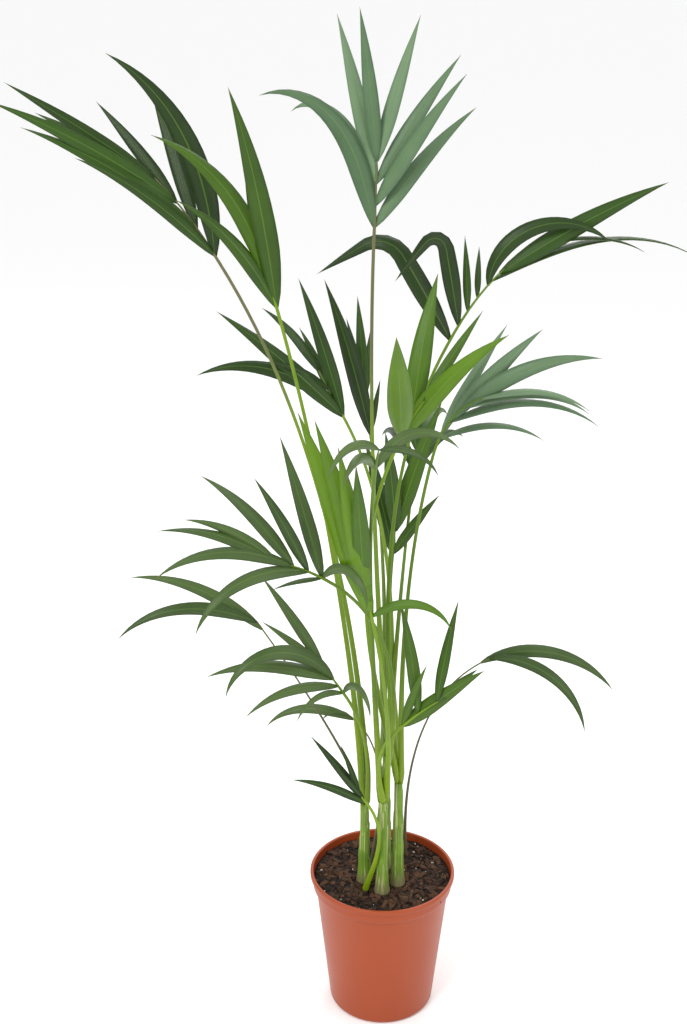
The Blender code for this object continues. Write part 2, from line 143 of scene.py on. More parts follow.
# Fronds. A throat is where a stalk ends and its frond begins. A rib is its lean from upright
# (plus is to the right), its swing towards the front, its length and its droop in degrees.
# Three young leaves have a foot of their own on the soil.
FRONDS = {
    "crown": dict(
        throat=(-0.019, 0.03, 1.139), rib=(2, 0, 0.09, 0),
        fans=[
            fan(lean=(-13, -17, -13, -6), length=(0.245, 0.20, 0.205, 0.183),
                droop=(95, 108, 3, 4), swing=(4, -12, -5, 6), sag=(2.3,)),
            fan(lean=(34, 30, 31, 15), length=(0.193, 0.195, 0.185, 0.178),
                droop=(18, 10, 8, 4), swing=(-8, 8, -10, -4)),
        ]),
    "left_high": dict(
        throat=(-0.224, 0.10, 1.086), rib=(-32, -5, 0.14, 15),
        fans=[
            fan(lean=(-4, -19, -38, -60), length=(0.30, 0.195, 0.17, 0.175),
                droop=(58, 5, 8, 6), swing=(0, -20, -15, -5)),
            fan(lean=(-42, -50, -53, -54), length=(0.22, 0.255, 0.265, 0.22),
                droop=(25, 20, 15, 6), swing=(10, 8, 12, 5), slim=(0.08,)),
        ]),
    "left_tall": dict(
        throat=(-0.135, -0.06, 1.058), rib=(-14, 5, 0.07, 0),
        fans=[
            fan(lean=(-27, -16, -28), length=(0.18, 0.23, 0.115), droop=(35, 55, 10), swing=(5, 0, -35)),
            fan(lean=(-6, -12), length=(0.27, 0.17), droop=(14, 5), swing=(5, -35)),
        ]),
    "right_high": dict(
        throat=(0.080, 0.12, 0.971), rib=(28, -5, 0.19, 38),
        fans=[
            fan(lean=(-30, -10, -3, 4, 1, 57), length=(0.265, 0.22, 0.105, 0.085, 0.21, 0.25),
                droop=(5, 5, 5, 5, 130, 12), swing=(-5, 8, 5, -45, 0, -5), fold=(88, 115, 0, 0, 0, 0),
                along=(0.04, 0.62), sag=(1.5, 1.5, 1.5, 1.5, 0.9, 1.5)),
            fan(lean=(62, 75), length=(0.30, 0.145), droop=(58, 45), swing=(-10, 0), along=(0.55, 0.95),
                face=(70,), slim=(0.06,)),
        ]),
    "right_mid": dict(
        throat=(0.016, -0.14, 0.921), rib=(24, 10, 0.06, 10),
        fans=[
            fan(lean=(-3, 7, 33), length=(0.19, 0.175, 0.13), droop=(5, 14, 5), swing=(35, -12, -20),
                slim=(0.16, 0.15, 0.1)),
            fan(lean=(32,), length=(0.185,), droop=(25,), swing=(8,), slim=(0.13,)),
        ]),
    "right_grey": dict(
        throat=(0.056, -0.05, 0.860), rib=(12, 5, 0.12, 55),
        fans=[
            fan(lean=(28, 39, 49), length=(0.16, 0.16, 0.185), droop=(8, 10, 45), swing=(-12, 0, 5),
                along=(0.35, 0.75), slim=(0.1, 0.13, 0.11)),
            fan(lean=(60, 62, 68, 72), length=(0.14, 0.195, 0.165, 0.14), droop=(60, 65, 60, 55),
                swing=(15, 8, 0, 5), face=(60,), along=(0.3, 0.96), slim=(0.08,)),
        ]),
    "middle": dict(
        throat=(0.010, 0.14, 0.653), rib=(5, 0, 0.04, 0),
        fans=[
            fan(lean=(-12, -4), length=(0.17, 0.16), swing=(-10, 6), slim=(0.14,)),
            fan(lean=(30, 16), length=(0.12, 0.20), swing=(8, -8), slim=(0.13,)),
        ]),
    "spear": dict(
        throat=(-0.016, -0.16, 0.693), rib=(-12, 0, 0.05, 0),
        fans=[
            fan(lean=(-17, -13, -9, -3), length=(0.28, 0.26, 0.22, 0.19), droop=(4, 4, 0, 0),
                swing=(0, 6, 14, 20), slim=(0.115,)),
            fan(lean=(50,), length=(0.12,), droop=(110,), swing=(10,)),
        ]),
    "back_left": dict(
        throat=(-0.06, 0.18, 0.845), rib=(-30, -15, 0.08, 0),
        fans=[
            fan(lean=(-16, -28, -35), length=(0.205, 0.12, 0.13), droop=(8, 12, 30), swing=(-10, -35, -20)),
            fan(lean=(-44, -50, -46), length=(0.235, 0.215, 0.11), droop=(10, 62, 30), swing=(5, 10, 20),
                along=(0.06, 0.6)),
        ]),
    "left_mid": dict(
        throat=(-0.075, -0.14, 0.737), rib=(-55, 15, 0.07, 20),
        fans=[
            fan(lean=(-15, -22, -38, -48), length=(0.185, 0.15, 0.165, 0.13), droop=(6, 8, 30, 40),
                swing=(-10, 10, -15, 0)),
            fan(lean=(-82, -72, -62, -56), length=(0.07, 0.18, 0.18, 0.155), droop=(20, 85, 65, 40),
                swing=(30, 30, 15, 5), face=(50,)),
            fan(lean=(30,), length=(0.12,), droop=(150,), swing=(30,)),
        ]),
    "left_low": dict(
        throat=(-0.167, 0.0, 0.599), rib=(-33, 0, 0.015, 0),
        fans=[fan(lean=(-48, -62), length=(0.20, 0.205), droop=(48, 75), swing=(0, 12), slim=(0.09,))]),
    "low_left": dict(
        throat=(-0.053, -0.06, 0.533), rib=(-30, 10, 0.06, 0),
        fans=[
            fan(lean=(-55, -74, -66, -46, -34), length=(0.095, 0.14, 0.175, 0.115, 0.145),
                droop=(85, 55, 45, 10, 8), swing=(40, 25, 10, 0, -15), face=(45,)),
            fan(lean=(20, -32), length=(0.10, 0.20), droop=(150, 135), swing=(30, 15), along=(0.06, 0.5)),
        ]),
    "low_back": dict(
        foot=(-0.016, 0.030), throat=(-0.042, 0.08, 0.417), rib=(-45, 0, 0.012, 0),
        fans=[fan(lean=(-68, -55), length=(0.145, 0.05), droop=(78, 100), swing=(-5, 15))]),
    "foot_left": dict(
        foot=(-0.024, -0.040), throat=(-0.021, -0.06, 0.362), rib=(-35, 0, 0.02, 0),
        fans=[fan(lean=(-56, -38, -32, -18), length=(0.115, 0.12, 0.075, 0.08), droop=(28, 6, 5, 5),
                  swing=(5, -10, 10, -5))]),
    "right_low": dict(
        throat=(0.021, -0.10, 0.506), rib=(42, 10, 0.07, 10),
        fans=[
            fan(lean=(14, -6, 9), length=(0.11, 0.165, 0.14), swing=(10, 0, -10)),
            fan(lean=(46, 50), length=(0.14, 0.07), swing=(5, -15), slim=(0.16,)),
        ]),
    "right_arch": dict(
        foot=(0.034, 0.052), throat=(0.136, 0.06, 0.523), rib=(58, 0, 0.015, 0),
        fans=[fan(lean=(60, 76), length=(0.22, 0.195), droop=(85, 95), swing=(-5, 10), slim=(0.085,),
                  sag=(0.9,))]),
    "front": dict(
        throat=(-0.013, -0.24, 0.917), rib=(5, 40, 0.06, 20),
        fans=[
            fan(lean=(25, 75), length=(0.135, 0.08), droop=(100, 80), swing=(15, 20)),
            fan(lean=(-20, -45), length=(0.12, 0.10), droop=(90, 110), swing=(45, 40)),
        ]),
    "back_centre": dict(
        throat=(-0.024, 0.24, 0.80), rib=(-10, -20, 0.06, 0),
        fans=[
            fan(lean=(-13, -12, -5), length=(0.24, 0.15, 0.16), swing=(0, -20, -30)),
            fan(lean=(10, 4), length=(0.09, 0.12), swing=(-35, -45)),
        ]),
    "back_right": dict(
        throat=(0.04, 0.22, 0.75), rib=(10, -50, 0.08, 20),
        fans=[
            fan(lean=(-25, -15, -5), length=(0.16, 0.17, 0.16), droop=(80, 75, 70), swing=(-50, -55, -60)),
            fan(lean=(35, 25, 15), length=(0.15, 0.16, 0.16), droop=(80, 75, 70), swing=(-40, -50, -60)),
        ]),
}
print("fronds:", len(FRONDS), "stems:", len(STEMS))

# %% [markdown]
# ## The rule of growth
# A leaflet leaves its rib straight and sinks more and more towards its tip, because it is held at one
# end only. An arc whose slope falls with a power of the way along gives that bend. One rule for ribs
# and leaflets keeps the leaves in the places that the solids hold.

# %% Arcs and widths
def graded(values, part):
    """Read evenly spaced values or points at a part, from 0 to 1, of the way along them."""
    place = part * (len(values) - 1)
    before = min(int(place), max(len(values) - 2, 0))
    after = min(before + 1, len(values) - 1)
    return values[before] + (values[after] - values[before]) * (place - before)


def heading(lean, swing):
    """The direction that leans from upright to the right and swings towards the front."""
    lean = math.radians(lean)
    swing = math.radians(swing)
    return Vector((math.sin(lean) * math.cos(swing), -math.sin(swing), math.cos(lean) * math.cos(swing)))


def arc(root, lean, swing, length, droop, fold, sag, steps):
    """Points along a rib or a leaflet that sinks under its weight, and may fold over."""
    start = heading(lean, swing)
    level = Vector((start.x, start.y, 0)).normalized()
    climb = math.atan2(start.z, math.hypot(start.x, start.y))
    points = [Vector(root)]
    for step in range(steps):
        part = (step + 0.5) / steps
        folded = min(max((part - FOLD_AT) / FOLD_REACH + 0.5, 0), 1)
        pitch = climb - math.radians(droop * part ** sag + fold * folded)
        ahead = level * math.cos(pitch) + Vector((0, 0, math.sin(pitch)))
        points.append(points[-1] + ahead * (length / steps))
    return points


def leaf_width(part):
    """A leaflet's width, from 0 to 1, at a part of the way to its tip."""
    if part < WIDEST_AT:
        return LEAF_ROOT_WIDTH + (1 - LEAF_ROOT_WIDTH) * math.sin(part / WIDEST_AT * math.pi / 2)
    return max(math.cos((part - WIDEST_AT) / (1 - WIDEST_AT) * math.pi / 2), LEAF_TIP_WIDTH)


print("a leaflet is widest at", WIDEST_AT, "of its length")

# %% [markdown]
# ## Finishes as expressions
# A shader is a small program. Wiring it node by node hides the idea, so one class wraps a socket and
# lets plain sums add the Math nodes. Any other node comes from its node method.

# %% A wire that can be used in sums
class Wire:
    """A socket in a material's node tree."""

    def __init__(self, tree, socket=None):
        """Without a socket it only says which tree new nodes go to."""
        self.tree = tree
        self.socket = socket

    def node(self, kind, settings=None, inputs=None, output=0):
        """Add a node: its settings are set first, then the values or links of its sockets."""
        made = self.tree.nodes.new(kind)
        for name, value in (settings or {}).items():
            setattr(made, name, value)
        for name, value in (inputs or {}).items():
            if isinstance(value, Wire):
                self.tree.links.new(value.socket, made.inputs[name])
            else:
                made.inputs[name].default_value = value
        return Wire(self.tree, made.outputs[output])

    def maths(self, operation, *values):
        """A Math node on values or wires."""
        return self.node("ShaderNodeMath", {"operation": operation}, dict(enumerate(values)))

    def __add__(self, other):
        return self.maths("ADD", self, other)

    def __radd__(self, other):
        return self.maths("ADD", other, self)

    def __sub__(self, other):
        return self.maths("SUBTRACT", self, other)

    def __rsub__(self, other):
        return self.maths("SUBTRACT", other, self)

    def __mul__(self, other):
        return self.maths("MULTIPLY", self, other)

    def __rmul__(self, other):
        return self.maths("MULTIPLY", other, self)

    def __abs__(self):
        return self.maths("ABSOLUTE", self)

    def sine(self):
        return self.maths("SINE", self)

    def between(self, low, high):
        """0 up to low, 1 from high on, and smooth in between."""
        settings = {"interpolation_type": "SMOOTHSTEP"}
        return self.node("ShaderNodeMapRange", settings, {"Value": self, "From Min": low, "From Max": high})

    def blend(self, first, second):
        """Mix two colours, with this wire as the factor."""
        return self.node("ShaderNodeMix", {"data_type": "RGBA"}, {0: self, 6: first, 7: second}, 2)

    def grain(self, scale, detail=3):
        """Noise on this wire's coordinates."""
        return self.node("ShaderNodeTexNoise", None, {"Vector": self, "Scale": scale, "Detail": detail})

    def stretched(self, scale):
        """These coordinates, scaled along each axis."""
        return self.node("ShaderNodeMapping", None, {"Vector": self, "Scale": scale})


def paint(red, green, blue):
    """A colour as it is given, from 0 to 255, made linear."""
    parts = [value / 255 for value in (red, green, blue)]
    return (*[part / 12.92 if part <= 0.04045 else ((part + 0.055) / 1.055) ** 2.4 for part in parts], 1)


# The share of light that the skins mirror: lower than plastic's usual 0.5
SHEEN = 0.32


def finish_of(name, roughness):
    """A material, with a wire in its tree and its shader's inputs."""
    material = bpy.data.materials.new(name)
    material.use_nodes = True
    shader = material.node_tree.nodes["Principled BSDF"]
    shader.inputs["Roughness"].default_value = roughness
    shader.inputs["Specular IOR Level"].default_value = SHEEN
    return material, Wire(material.node_tree), shader.inputs


def plug(wire, socket):
    """Link a wire to one of the shader's inputs."""
    wire.tree.links.new(wire.socket, socket)


def places(wire):
    """The Object coordinates."""
    return wire.node("ShaderNodeTexCoord", output=3)


def shade_of(wire):
    """The shade that each leaflet or scrap carries in its vertices."""
    return wire.node("ShaderNodeAttribute", {"attribute_name": "shade"}, output=2)


def bumps(height, strength, distance):
    """A Bump node on a height."""
    return height.node("ShaderNodeBump", None, {"Strength": strength, "Distance": distance, "Height": height})


print("a colour picked as (128, 128, 128) is", round(paint(128, 128, 128)[0], 3), "in linear light")

# %% [markdown]
# ## Leaf finish
# A palm leaflet has a pale midrib, fine parallel veins and a darker face above than below. The pattern
# follows the leaf, so it reads the leaf's own UV map: across and along. Each leaflet carries a random
# shade, which keeps neighbours apart. The hues are dealt out by frond.

# %% Leaf hues
# The dark and the light shade of the upper face, and the underside
HUES = {
    "deep": ((16, 36, 0), (48, 82, 2), (86, 106, 52)),
    "fresh": ((46, 80, 0), (92, 128, 2), (108, 130, 38)),
    "mid": ((30, 58, 0), (74, 108, 4), (96, 118, 44)),
    "grey": ((64, 92, 60), (112, 138, 104), (120, 140, 114)),
    "dusk": ((38, 62, 16), (88, 110, 58), (110, 128, 88)),
}
MIDRIB = (96, 128, 48)
DRY_TIP = (112, 92, 62)
VEINS = 15
VEIN_TONE = 0.22
MIDRIB_TONE = 0.4
MIDRIB_EDGE = (0.012, 0.045)
DRY_EDGE = (0.985, 1.02)
PATCH_SCALE = 22
VEIN_HEIGHT = 0.0004
UPPER_ROUGHNESS = 0.36
UNDER_ROUGHNESS = 0.55
UNDER_DARK = 0.86


def leaf_face(name, dark, light, roughness):
    """One face of a leaf: mottled, veined along its length, with a pale midrib and a dry tip."""
    material, start, shader = finish_of(name, roughness)
    chart = start.node("ShaderNodeUVMap", {"uv_map": "leaf"})
    across = chart.node("ShaderNodeSeparateXYZ", None, {0: chart}, 0)
    along = chart.node("ShaderNodeSeparateXYZ", None, {0: chart}, 1)
    patches = places(start).grain(PATCH_SCALE)
    body = (shade_of(start) * 0.75 + patches * 0.5 - 0.12).blend(paint(*dark), paint(*light))
    veins = (across * (VEINS * 2 * math.pi)).sine() * 0.5 + 0.5
    veined = (veins * VEIN_TONE).blend(body, paint(*dark))
    midrib = 1 - abs(across - 0.5).between(*MIDRIB_EDGE)
    ribbed = (midrib * MIDRIB_TONE).blend(veined, paint(*MIDRIB))
    dry = (along + patches * 0.05).between(*DRY_EDGE)
    plug(dry.blend(ribbed, paint(*DRY_TIP)), shader["Base Color"])
    plug(bumps(veins + midrib * 2, 0.35, VEIN_HEIGHT), shader["Normal"])
    return material


leaf_faces = {}
for hue, (dark, light, under) in HUES.items():
    under_dark = [part * UNDER_DARK for part in under]
    above = leaf_face(f"leaf_{hue}", dark, light, UPPER_ROUGHNESS)
    below = leaf_face(f"leaf_{hue}_underside", under_dark, under, UNDER_ROUGHNESS)
    leaf_faces[hue] = (above, below)
print("leaf hues:", ", ".join(leaf_faces))

# %% [markdown]
# ## Stalk and sheath finish
# Stalks are smooth and bright green, and an old one dries to grey brown. The sheaths at the foot are
# pale green with dry fibres that run up and down, so noise is stretched along the height.

# %% Stalk and sheath materials
STREAK = (40, 72, 8)
STREAK_SCALE = (260, 260, 9)
FIBRE_SCALE = (520, 520, 7)
MIDDLE_HEIGHT = 0.5
DRY_HEIGHT = 0.93


def height_of(place):
    """How high a place is above the floor, in metres."""
    return place.node("ShaderNodeSeparateXYZ", None, {0: place}, 2)


def stalk_finish(name, low, high, change):
    """Green along the stalk, turning from one hue to another around a height."""
    material, start, shader = finish_of(name, 0.4)
    place = places(start)
    streaks = place.stretched(STREAK_SCALE).grain(1)
    turned = (height_of(place) + streaks * 0.08).between(change - 0.04, change + 0.12)
    hue = turned.blend(paint(*low), paint(*high))
    plug((streaks * 0.35).blend(hue, paint(*STREAK)), shader["Base Color"])
    plug(bumps(streaks, 0.25, 0.0005), shader["Normal"])
    return material


green_stalk = stalk_finish("stalk_green", (116, 142, 18), (88, 118, 4), MIDDLE_HEIGHT)
old_stalk = stalk_finish("stalk_old", (108, 136, 24), (102, 98, 66), DRY_HEIGHT)
young_stalk = stalk_finish("stalk_young", (120, 148, 16), (108, 138, 8), MIDDLE_HEIGHT)
dry_stalk = stalk_finish("stalk_dry", (96, 88, 66), (92, 104, 50), MIDDLE_HEIGHT)

sheath, start, shader = finish_of("leaf_sheath", 0.6)
place = places(start)
fibres = place.stretched(FIBRE_SCALE).grain(1, 5)
patches = place.grain(60)
green = patches.blend(paint(72, 106, 16), paint(116, 148, 44))
dry = fibres.between(0.52, 0.68).blend(green, paint(172, 172, 122))
brown = fibres.blend(paint(70, 60, 38), paint(150, 142, 104))
clean = (height_of(place) + patches * 0.03).between(SOIL_LEVEL + 0.012, SOIL_LEVEL + 0.045)
plug(clean.blend(brown, dry), shader["Base Color"])
plug(bumps(fibres, 0.6, 0.001), shader["Normal"])
print("stalk finishes are ready")

# %% [markdown]
# ## Pot and soil finish
# The pot is satin plastic in one moulded colour, a little worn. The soil is coarse bark and peat: dark,
# rough, and broken up by chips of its own, so its base needs only a mottled brown.

# %% Pot and soil materials
plastic, start, shader = finish_of("orange_plastic", 0.36)
place = places(start)
wear = place.grain(9, 5)
plug((wear * 0.6).blend(paint(156, 67, 30), paint(138, 56, 23)), shader["Base Color"])
plug(wear * 0.16 + 0.3, shader["Roughness"])
plug(bumps(place.grain(700, 2), 0.05, 0.0004), shader["Normal"])

peat, start, shader = finish_of("potting_soil", 0.95)
crumbs = places(start).grain(240, 5)
plug(crumbs.between(0.35, 0.7).blend(paint(12, 8, 6), paint(46, 32, 23)), shader["Base Color"])
plug(bumps(crumbs, 0.8, 0.002), shader["Normal"])


def scrap_finish(name, dark, light):
    """Loose scraps, each with a shade of its own."""
    material, start, shader = finish_of(name, 0.85)
    grain = places(start).grain(500)
    mottle = shade_of(start) * 0.8 + grain * 0.3 - 0.05
    plug(mottle.blend(paint(*dark), paint(*light)), shader["Base Color"])
    return material


bark = scrap_finish("bark_chip", (14, 9, 6), (86, 58, 38))
speck = scrap_finish("pale_speck", (150, 136, 112), (212, 204, 186))
twig = scrap_finish("dry_twig", (48, 36, 26), (92, 74, 54))
print("pot, soil, bark, speck and twig finishes are ready")

# %% [markdown]
# ## Making a piece
# Each piece is a mesh with its place in its vertices and its object at the origin, as the frame's own
# nodes are. It rides on the frame, hides the solids it stands for, and takes its finishes.

# %% Pieces and bars
# The way the plant faces, which every bar keeps its ridge turned to
FRONT = Vector((0, -1, 0))


def add_piece(name, mesh, materials, replaced=()):
    """Make a piece of a mesh, hang it on the frame's root, and hide the solids that it stands for."""
    data = bpy.data.meshes.new(name)
    mesh.to_mesh(data)
    mesh.free()
    for material in materials:
        data.materials.append(material)
    data.shade_smooth()
    piece = bpy.data.objects.new(name, data)
    bpy.context.scene.collection.objects.link(piece)
    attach(piece, "root")
    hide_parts(*replaced)
    return piece


def bar(points, radius, sides):
    """A closed bar along a line: a cone cut into rings. Its radius is a rule of how far along it is
    and of the angle around it."""
    rings = len(points) - 1
    mesh = bmesh.new()
    bmesh.ops.create_cone(mesh, cap_ends=True, segments=sides, radius1=1, radius2=1, depth=rings)
    uprights = [edge for edge in mesh.edges if abs(edge.verts[0].co.z - edge.verts[1].co.z) > 0.5]
    bmesh.ops.subdivide_edges(mesh, edges=uprights, cuts=rings - 1)
    for vert in mesh.verts:
        ring = round(vert.co.z + rings / 2)
        ahead = (points[min(ring + 1, rings)] - points[max(ring - 1, 0)]).normalized()
        side = FRONT.cross(ahead).normalized()
        ridge = ahead.cross(side)
        reach = radius(ring / rings, math.atan2(vert.co.y, vert.co.x))
        vert.co = points[ring] + (side * vert.co.x + ridge * vert.co.y) * reach
    return mesh


print("a bar keeps its ridge towards", tuple(FRONT))

# %% [markdown]
# ## The pot
# A nursery pot is blown or moulded in one thin wall: a rolled lip, a collar with a step under it, and a
# tapering wall with a rounded foot. It is turned here from half its section, with its roundings drawn
# by short arcs, since a moulded edge is never sharp.

# %% Turn the pot
SPIN_STEPS = 96
SHARP_ANGLE = 32
LIP_ROUND = 0.0018
SOFT = 0.0002


def wall_radius(height):
    """The outer radius of the pot's tapering wall at a height."""
    part = (height - FOOT_ROUNDING) / (COLLAR_FOOT - FOOT_ROUNDING)
    return WALL_FOOT_RADIUS + (WALL_TOP_RADIUS - WALL_FOOT_RADIUS) * part


def rounded(middle, radius, first, last, steps=5):
    """Points on a small arc, from one angle to another, in the plane of radius and height."""
    turns = [math.radians(first + (last - first) * step / steps) for step in range(steps + 1)]
    return [(middle[0] + radius * math.cos(turn), middle[1] + radius * math.sin(turn)) for turn in turns]


def spun(profile):
    """Turn a section, drawn from the axis out and back to the axis, into a closed skin."""
    mesh = bmesh.new()
    verts = [mesh.verts.new((radius, 0, height)) for radius, height in profile]
    edges = [mesh.edges.new(pair) for pair in zip(verts, verts[1:])]
    bmesh.ops.spin(mesh, geom=verts + edges, cent=(0, 0, 0), axis=(0, 0, 1), angle=2 * math.pi,
                   steps=SPIN_STEPS, use_merge=True)
    bmesh.ops.remove_doubles(mesh, verts=mesh.verts, dist=0.00001)
    bmesh.ops.recalc_face_normals(mesh, faces=mesh.faces)
    return mesh


lip_foot = POT_HEIGHT - LIP_HEIGHT
foot_radius = wall_radius(FOOT_ROUNDING)
section = [
    (0, FLOOR),
    (foot_radius - WALL - FLOOR_CORNER, FLOOR),
    (wall_radius(2 * FOOT_ROUNDING) - WALL, 2 * FOOT_ROUNDING),
    (WALL_TOP_RADIUS - WALL, COLLAR_FOOT),
    (COLLAR_RADIUS - WALL, COLLAR_FOOT + 2 * STEP_DEPTH),
    (RIM_RADIUS - 2 * WALL, POT_HEIGHT - LIP_EDGE),
]
section += rounded((RIM_RADIUS - 2 * WALL + LIP_EDGE, POT_HEIGHT - LIP_EDGE), LIP_EDGE, 170, 90)
section += rounded((RIM_RADIUS - LIP_ROUND, POT_HEIGHT - LIP_ROUND), LIP_ROUND, 90, 0)
section += rounded((RIM_RADIUS - LIP_ROUND, lip_foot + LIP_ROUND), LIP_ROUND, 0, -90)
section += [
    (COLLAR_RADIUS + 2 * SOFT, lip_foot - SOFT),
    (COLLAR_RADIUS, lip_foot - STEP_DEPTH),
    (COLLAR_RADIUS - SOFT, (lip_foot + COLLAR_FOOT) / 2),
    (COLLAR_RADIUS - 3 * SOFT, COLLAR_FOOT + 2 * STEP_DEPTH),
    (COLLAR_RADIUS - STEP_DEPTH, COLLAR_FOOT + STEP_DEPTH),
    (WALL_TOP_RADIUS + 1.5 * SOFT, COLLAR_FOOT - SOFT),
    (WALL_TOP_RADIUS, COLLAR_FOOT - STEP_DEPTH),
    (wall_radius(COLLAR_FOOT / 2), COLLAR_FOOT / 2),
    (wall_radius(2 * FOOT_ROUNDING), 2 * FOOT_ROUNDING),
]
section += rounded((foot_radius - FOOT_ROUNDING, FOOT_ROUNDING), FOOT_ROUNDING, 0, -90)
section += [(0, 0)]
pot = add_piece("pot_turned", spun(section), [plastic], ["pot"])
pot.data.set_sharp_from_angle(angle=math.radians(SHARP_ANGLE))
print("pot faces:", len(pot.data.polygons))

# %% [markdown]
# ## The soil
# The soil fills the pot to just below the collar's top. Its skin is turned like the pot, from a section
# with many points, and then pushed up and down by noise, so that it looks poured and settled.

# %% Heap the soil
SOIL_RINGS = 46
HEAP = 0.0035
BROAD_HEAPS = 28
FINE_HEAPS = 150
soil_edge = COLLAR_RADIUS - WALL - GAP
section = [(soil_edge * ring / SOIL_RINGS, SOIL_LEVEL) for ring in range(SOIL_RINGS + 1)]
section += [
    (soil_edge, COLLAR_FOOT + 2 * STEP_DEPTH + 2 * GAP),
    (WALL_TOP_RADIUS - WALL - GAP, COLLAR_FOOT + GAP),
    (wall_radius(2 * FOOT_ROUNDING) - WALL - GAP, 2 * FOOT_ROUNDING + GAP),
    (foot_radius - WALL - FLOOR_CORNER - 2 * GAP, FLOOR + GAP),
    (0, FLOOR + GAP),
]


def soil_height(x, y):
    """The height of the heaped soil at a place."""
    broad = noise.noise(Vector((x, y, 0)) * BROAD_HEAPS)
    fine = noise.noise(Vector((x, y, 1)) * FINE_HEAPS)
    return SOIL_LEVEL + HEAP * (0.6 * broad + 0.55 * fine)


mesh = spun(section)
for vert in mesh.verts:
    if vert.co.z > SOIL_LEVEL - 0.001:
        vert.co.z = soil_height(vert.co.x, vert.co.y)
soil = add_piece("soil_heap", mesh, [peat], ["soil"])
print("soil faces:", len(soil.data.polygons))

# %% [markdown]
# ## Bark chips and specks
# Seen close, potting mix is a litter of bark. A cube with its corners pushed about is enough for a chip
# of a few millimetres, and hundreds of them still cost little. They keep clear of the stems.

# %% Scatter the chips
CHIPS = 760
SPECKS = 60
SCATTER_EDGE = 0.965
TILT = 0.5
JITTER = 0.2
SUNK = 0.2


def clear_of_stems(x, y):
    """Whether a place on the soil is outside every stem."""
    feet = [spec["place"] for spec in STEMS.values()]
    return all(math.hypot(x - foot[0], y - foot[1]) > STEM_RADIUS * STEM_FLARE for foot in feet)


def jitter():
    """A small random push for one corner of a chip."""
    return Vector([dice.uniform(-JITTER, JITTER) for axis in range(3)])


def scattered(count, low, high, flatness):
    """Scraps lying on the soil, each turned and sized at random."""
    mesh = bmesh.new()
    shade = mesh.verts.layers.float.new("shade")
    made = 0
    while made < count:
        reach = soil_edge * SCATTER_EDGE * math.sqrt(dice.random())
        turn = dice.uniform(0, 2 * math.pi)
        x, y = reach * math.cos(turn), reach * math.sin(turn)
        if not clear_of_stems(x, y):
            continue
        size = dice.uniform(low, high)
        lean = Euler((dice.uniform(-TILT, TILT), dice.uniform(-TILT, TILT), dice.uniform(0, math.pi)))
        stretch = Vector((dice.uniform(0.8, 1.5), dice.uniform(0.45, 0.8), flatness * dice.uniform(0.7, 1.3)))
        tone = dice.random()
        middle = Vector((x, y, soil_height(x, y) + size * flatness * SUNK))
        for vert in bmesh.ops.create_cube(mesh, size=1)["verts"]:
            corner = (vert.co + jitter()) * stretch * size
            corner.rotate(lean)
            vert.co = middle + corner
            vert[shade] = tone
        made += 1
    return mesh


chips = add_piece("bark_chips", scattered(CHIPS, 0.0025, 0.0105, 0.4), [bark])
chips.data.shade_flat()
specks = add_piece("pale_specks", scattered(SPECKS, 0.0012, 0.0032, 0.6), [speck])
specks.data.shade_flat()
print("scraps:", CHIPS + SPECKS)

# %% [markdown]
# ## Twigs
# Three dry twigs lie in the soil or stand up from it: an old stub at the left, a thin stick that leans,
# and a short pale end at the right.

# %% Stand the twigs
TWIG_RINGS = 8
TWIG_SIDES = 9
PALE_SHADE = 0.8
DARK_SHADE = 0.25
# The foot, the top and the radius of each
TWIGS = {
    "stub": ((-0.044, -0.052, 0.200), (-0.043, -0.050, 0.224), 0.0026),
    "stick": ((-0.030, -0.062, 0.202), (-0.052, -0.030, 0.236), 0.0011),
    "end": ((0.040, -0.055, 0.201), (0.043, -0.052, 0.217), 0.0022),
}


def knobbly(radius):
    """The radius rule of a dry twig: tapering, with ridges that wind round it."""
    return lambda part, turn: radius * (1.15 - 0.4 * part + 0.12 * math.sin(3 * turn + 9 * part))


for name, (foot, top, radius) in TWIGS.items():
    foot, top = Vector(foot), Vector(top)
    line = [foot.lerp(top, step / TWIG_RINGS) for step in range(TWIG_RINGS + 1)]
    mesh = bar(line, knobbly(radius), TWIG_SIDES)
    layer = mesh.verts.layers.float.new("shade")
    for vert in mesh.verts:
        vert[layer] = PALE_SHADE if name == "end" else DARK_SHADE
    add_piece(f"twig_{name}", mesh, [twig])
print("twigs:", ", ".join(TWIGS))

# %% [markdown]
# ## The stems
# A young palm's stem is a bundle of leaf sheaths, each wrapped round the next, with a slanting edge
# where it ends. A round bar is given that relief by its radius rule: a step down past each slanting
# edge, and fine ridges for the fibres.

# %% Wrap the stems
STEM_RINGS = 44
STEM_SIDES = 44
SHEATH_STEP = 0.0011
SHEATH_EDGES = (0.34, 0.66, 0.97)
SLANT = 0.09
EDGE_WIDTH = 0.03
EDGE_TURN = 2.4
RIDGE = 0.035
RIDGES = 11


def wrapped(bearing):
    """The radius rule of a stem whose first sheath opens at a bearing."""
    def stem_radius(part, turn):
        flare = max(1 - part / FLARE_HEIGHT, 0) ** 2
        reach = STEM_RADIUS * (1 + (STEM_FLARE - 1) * flare)
        for order, edge in enumerate(SHEATH_EDGES):
            slant = edge + SLANT * math.cos(turn - bearing - EDGE_TURN * order)
            reach -= SHEATH_STEP * min(max((part - slant) / EDGE_WIDTH, 0), 1)
        return reach * (1 + RIDGE * math.sin(RIDGES * turn + 2 * math.sin(5 * part)))
    return stem_radius


